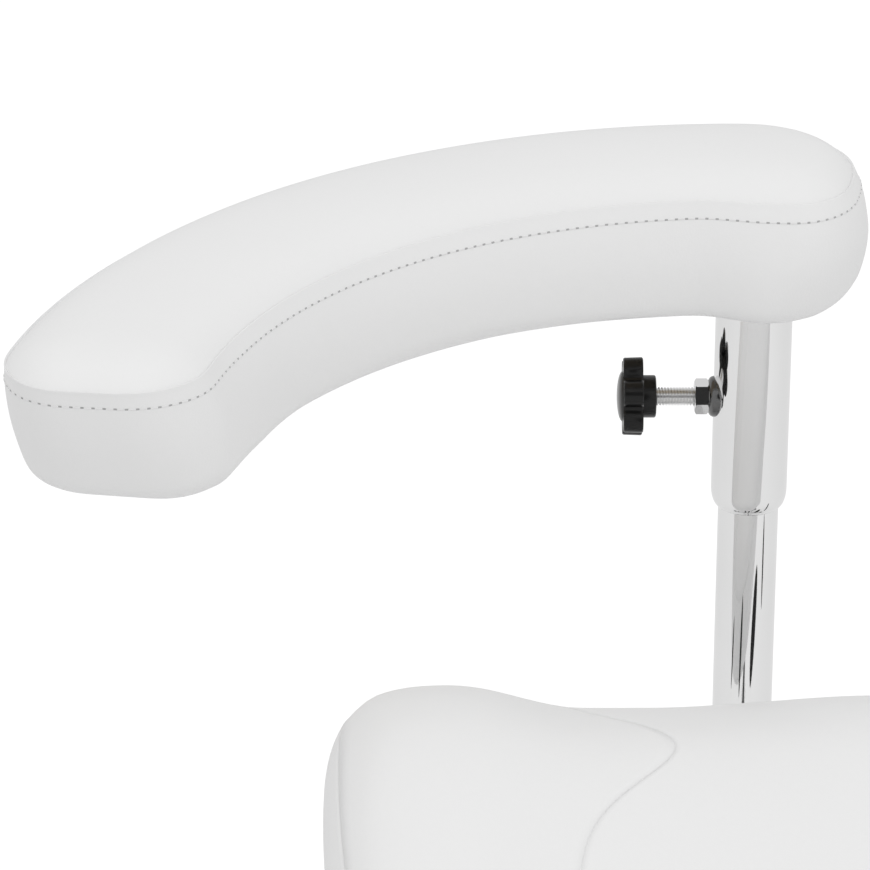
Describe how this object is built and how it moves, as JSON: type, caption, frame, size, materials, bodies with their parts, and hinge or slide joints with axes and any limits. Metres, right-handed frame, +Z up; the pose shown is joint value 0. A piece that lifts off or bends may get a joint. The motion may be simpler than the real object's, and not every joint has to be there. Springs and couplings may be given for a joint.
{
  "type": "saddle chair",
  "caption": "Height-adjustable saddle chair on a castored star base, with a curved padded arm and back rest on a swinging post.",
  "frame": {"origin": "on the floor under the column's axis", "axes": "+Z up; +X towards the saddle's front; +Y to the sitter's left, where the arm post stands at rest"},
  "size_m": [0.5911, 0.5516, 0.6996],
  "materials": {
    "chrome": "polished chrome plate",
    "cast_chrome": "polished chrome plate on a die casting",
    "steel": "bright ground steel",
    "zinc": "bright zinc plate",
    "black_paint": "satin black powder coat",
    "black_plastic": "satin black moulded plastic",
    "gloss_black": "smooth black moulded plastic",
    "nylon": "natural nylon",
    "white_cover": "white upholstery vinyl with fine grain over foam",
    "plywood": "raw birch plywood",
    "brass": "plain brass"
  },
  "bodies": {
    "base": {"star_base": "cast_chrome", "castor_stems": "zinc", "column_tube": "chrome", "column_bush": "black_plastic", "thrust_bearing": "steel"},
    "spindle": {"piston_rod": "steel", "piston_head": "brass", "rod_clip": "steel"},
    "carriage": {"gas_cylinder": "steel", "mechanism_housing": "black_paint", "swing_ring": "steel"},
    "release": {"release_pin": "brass"},
    "height_lever_arm": {"height_lever": "chrome", "height_grip": "black_plastic"},
    "tilt_lever_arm": {"tilt_lever": "chrome", "tilt_grip": "black_plastic"},
    "seat": {"seat_plate": "black_paint", "pivot_pin": "zinc", "seat_shell": "black_plastic", "seat_cushion": "white_cover", "seat_bolts": "zinc", "seat_inserts": "brass"},
    "arm": {"arm_collar": "chrome", "arm_tube": "chrome", "post_plug": "black_plastic"},
    "guide": {"guide_bushes": "nylon"},
    "sleeve": {"arm_sleeve": "chrome", "clamp_nut": "chrome", "pad_plate": "zinc", "pad_screws": "zinc", "pad_board": "plywood", "pad_cushion": "white_cover"},
    "shoe": {"clamp_shoe": "brass"},
    "screw": {"clamp_screw": "zinc", "star_knob": "gloss_black", "knob_cap": "gloss_black"},
    "castor_1": {"castor_1_hood": "black_plastic"},
    "castor_1_pair": {"castor_1_axle": "steel", "castor_1_wheels": "black_plastic"},
    "castor_2": {"castor_2_hood": "black_plastic"},
    "castor_2_pair": {"castor_2_axle": "steel", "castor_2_wheels": "black_plastic"},
    "castor_3": {"castor_3_hood": "black_plastic"},
    "castor_3_pair": {"castor_3_axle": "steel", "castor_3_wheels": "black_plastic"},
    "castor_4": {"castor_4_hood": "black_plastic"},
    "castor_4_pair": {"castor_4_axle": "steel", "castor_4_wheels": "black_plastic"},
    "castor_5": {"castor_5_hood": "black_plastic"},
    "castor_5_pair": {"castor_5_axle": "steel", "castor_5_wheels": "black_plastic"}
  },
  "joints": [
    {"name": "castor_1_swivel", "type": "hinge", "parent": "base", "child": "castor_1", "pos_m": [0, 0.275, 0.058], "axis": [0, 0, 1], "continuous": true},
    {"name": "castor_1_roll", "type": "hinge", "parent": "castor_1", "child": "castor_1_pair", "pos_m": [0.00845, 0.25687, 0.025], "axis": [0.9063, 0.4226, 0], "continuous": true},
    {"name": "castor_2_swivel", "type": "hinge", "parent": "base", "child": "castor_2", "pos_m": [-0.26154, 0.08498, 0.058], "axis": [0, 0, 1], "continuous": true},
    {"name": "castor_2_roll", "type": "hinge", "parent": "castor_2", "child": "castor_2_pair", "pos_m": [-0.2773, 0.09729, 0.025], "axis": [-0.6157, -0.788, 0], "continuous": true},
    {"name": "castor_3_swivel", "type": "hinge", "parent": "base", "child": "castor_3", "pos_m": [-0.16164, -0.22248, 0.058], "axis": [0, 0, 1], "continuous": true},
    {"name": "castor_3_roll", "type": "hinge", "parent": "castor_3", "child": "castor_3_pair", "pos_m": [-0.17423, -0.20694, 0.025], "axis": [-0.7771, -0.6293, 0], "continuous": true},
    {"name": "castor_4_swivel", "type": "hinge", "parent": "base", "child": "castor_4", "pos_m": [0.16164, -0.22248, 0.058], "axis": [0, 0, 1], "continuous": true},
    {"name": "castor_4_roll", "type": "hinge", "parent": "castor_4", "child": "castor_4_pair", "pos_m": [0.18055, -0.22899, 0.025], "axis": [0.3256, 0.9455, 0], "continuous": true},
    {"name": "castor_5_swivel", "type": "hinge", "parent": "base", "child": "castor_5", "pos_m": [0.26154, 0.08498, 0.058], "axis": [0, 0, 1], "continuous": true},
    {"name": "castor_5_roll", "type": "hinge", "parent": "castor_5", "child": "castor_5_pair", "pos_m": [0.243, 0.09247, 0.025], "axis": [-0.3746, -0.9272, 0], "continuous": true},
    {"name": "seat_swivel", "type": "hinge", "parent": "base", "child": "spindle", "pos_m": [0, 0, 0.074], "axis": [0, 0, 1], "continuous": true},
    {"name": "seat_height", "type": "slide", "parent": "spindle", "child": "carriage", "axis": [0, 0, 1], "range_m": [-0.025, 0.115]},
    {"name": "release_press", "type": "slide", "parent": "carriage", "child": "release", "axis": [0, 0, -1], "range_m": [0, 0.004], "stiffness_N_per_m": 400, "springref_m": -0.002},
    {"name": "height_lever", "type": "hinge", "parent": "carriage", "child": "height_lever_arm", "pos_m": [0.024, 0, 0.4803], "axis": [0, -1, 0], "range_deg": [0, 9], "stiffness_Nm_per_rad": 1, "springref_deg": -5.73},
    {"name": "tilt_lock", "type": "hinge", "parent": "carriage", "child": "tilt_lever_arm", "pos_m": [-0.032, 0, 0.454], "axis": [0, -1, 0], "range_deg": [0, 20]},
    {"name": "seat_tilt", "type": "hinge", "parent": "carriage", "child": "seat", "pos_m": [0.045, 0, 0.472], "axis": [0, 1, 0], "range_deg": [-8, 6]},
    {"name": "arm_swing", "type": "hinge", "parent": "carriage", "child": "arm", "pos_m": [0, 0, 0.392], "axis": [0, 0, 1], "continuous": true},
    {"name": "arm_height", "type": "slide", "parent": "arm", "child": "guide", "axis": [0, 0, 1], "range_m": [-0.018, 0.018]},
    {"name": "pad_swivel", "type": "hinge", "parent": "guide", "child": "sleeve", "pos_m": [0, 0.246, 0.59], "axis": [0, 0, 1], "continuous": true},
    {"name": "clamp_travel", "type": "slide", "parent": "sleeve", "child": "shoe", "axis": [-1, 0, 0], "range_m": [0, 0.0025]},
    {"name": "knob_turn", "type": "hinge", "parent": "shoe", "child": "screw", "pos_m": [-0.04, 0.246, 0.59], "axis": [-1, 0, 0], "range_deg": [0, 720]}
  ],
  "couplings": [
    {"joint": "release_press", "follows": "height_lever", "m_per_rad": 0.024},
    {"joint": "knob_turn", "follows": "clamp_travel", "rad_per_m": 5026.5}
  ]
}
